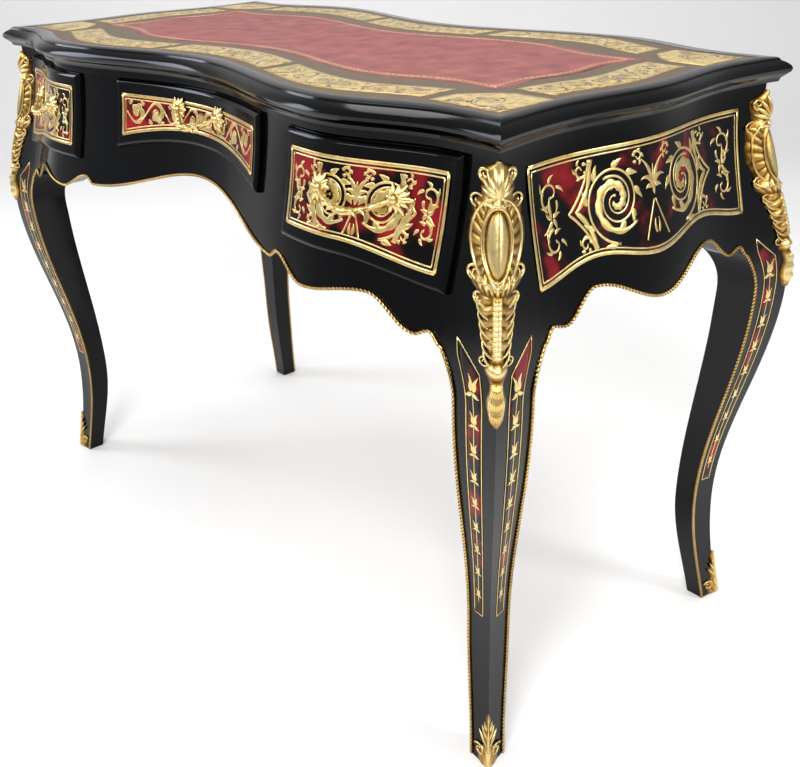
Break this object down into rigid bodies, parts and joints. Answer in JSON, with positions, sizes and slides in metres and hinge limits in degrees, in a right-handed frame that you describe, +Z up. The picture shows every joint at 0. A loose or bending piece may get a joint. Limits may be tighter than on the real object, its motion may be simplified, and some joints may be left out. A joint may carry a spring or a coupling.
{
  "type": "writing desk",
  "caption": "Black lacquered writing desk with shaped legs, serpentine frieze, sliding drawers, brass and red marquetry, gilt corner mounts and a leather writing top.",
  "frame": {"origin": "middle of the floor area under the desk, at floor level", "axes": "+X to the right seen from the drawer front, -Y out of the drawer front, +Z up"},
  "size_m": [1.1642, 0.601, 0.78],
  "materials": {
    "black_lacquer": "black lacquer polished to a mirror gloss on wood",
    "marquetry": "red shell-coloured veneer with cut brass scrolls, polished",
    "gilt_brass": "cast and chased brass, gilt, satin in the hollows",
    "gilt_panel": "polished brass sheet cut with dark scrolls",
    "border_veneer": "brown veneer, satin varnish",
    "red_leather": "tooled red leather, matt",
    "lining_wood": "plain oak, waxed",
    "steel": "plain steel"
  },
  "bodies": {
    "desk_frame": {"back_apron": "black_lacquer", "back_bead": "gilt_brass", "back_left_corner_mount": "gilt_brass", "back_left_foot_mount": "gilt_brass", "back_left_leg": "black_lacquer", "back_marquetry": "marquetry", "back_right_corner_mount": "gilt_brass", "back_right_foot_mount": "gilt_brass", "back_right_leg": "black_lacquer", "cross_bearers": "lining_wood", "drawer_runners": "lining_wood", "drawer_stops": "lining_wood", "front_apron": "black_lacquer", "front_bead": "gilt_brass", "front_left_corner_mount": "gilt_brass", "front_left_foot_mount": "gilt_brass", "front_left_leg": "black_lacquer", "front_right_corner_mount": "gilt_brass", "front_right_foot_mount": "gilt_brass", "front_right_leg": "black_lacquer", "front_top_rail": "black_lacquer", "left_apron": "black_lacquer", "left_bead": "gilt_brass", "left_marquetry": "marquetry", "left_stile": "black_lacquer", "leg_marquetry": "marquetry", "right_apron": "black_lacquer", "right_bead": "gilt_brass", "right_marquetry": "marquetry", "right_stile": "black_lacquer", "top_board": "black_lacquer", "top_border_panels": "gilt_panel", "top_border_veneer": "border_veneer", "top_screws": "steel", "writing_leather": "red_leather"},
    "left_drawer": {"left_drawer_back": "lining_wood", "left_drawer_bottom": "lining_wood", "left_drawer_front": "black_lacquer", "left_drawer_handle": "gilt_brass", "left_drawer_handle_bolts": "steel", "left_drawer_marquetry": "marquetry", "left_drawer_sides": "lining_wood"},
    "centre_drawer": {"centre_drawer_back": "lining_wood", "centre_drawer_bottom": "lining_wood", "centre_drawer_front": "black_lacquer", "centre_drawer_handle": "gilt_brass", "centre_drawer_handle_bolts": "steel", "centre_drawer_marquetry": "marquetry", "centre_drawer_sides": "lining_wood"},
    "right_drawer": {"right_drawer_back": "lining_wood", "right_drawer_bottom": "lining_wood", "right_drawer_front": "black_lacquer", "right_drawer_handle": "gilt_brass", "right_drawer_handle_bolts": "steel", "right_drawer_marquetry": "marquetry", "right_drawer_sides": "lining_wood"}
  },
  "joints": [
    {"name": "left_drawer_slide", "type": "slide", "parent": "desk_frame", "child": "left_drawer", "axis": [0, -1, 0], "range_m": [0, 0.28]},
    {"name": "centre_drawer_slide", "type": "slide", "parent": "desk_frame", "child": "centre_drawer", "axis": [0, -1, 0], "range_m": [0, 0.28]},
    {"name": "right_drawer_slide", "type": "slide", "parent": "desk_frame", "child": "right_drawer", "axis": [0, -1, 0], "range_m": [0, 0.28]}
  ]
}
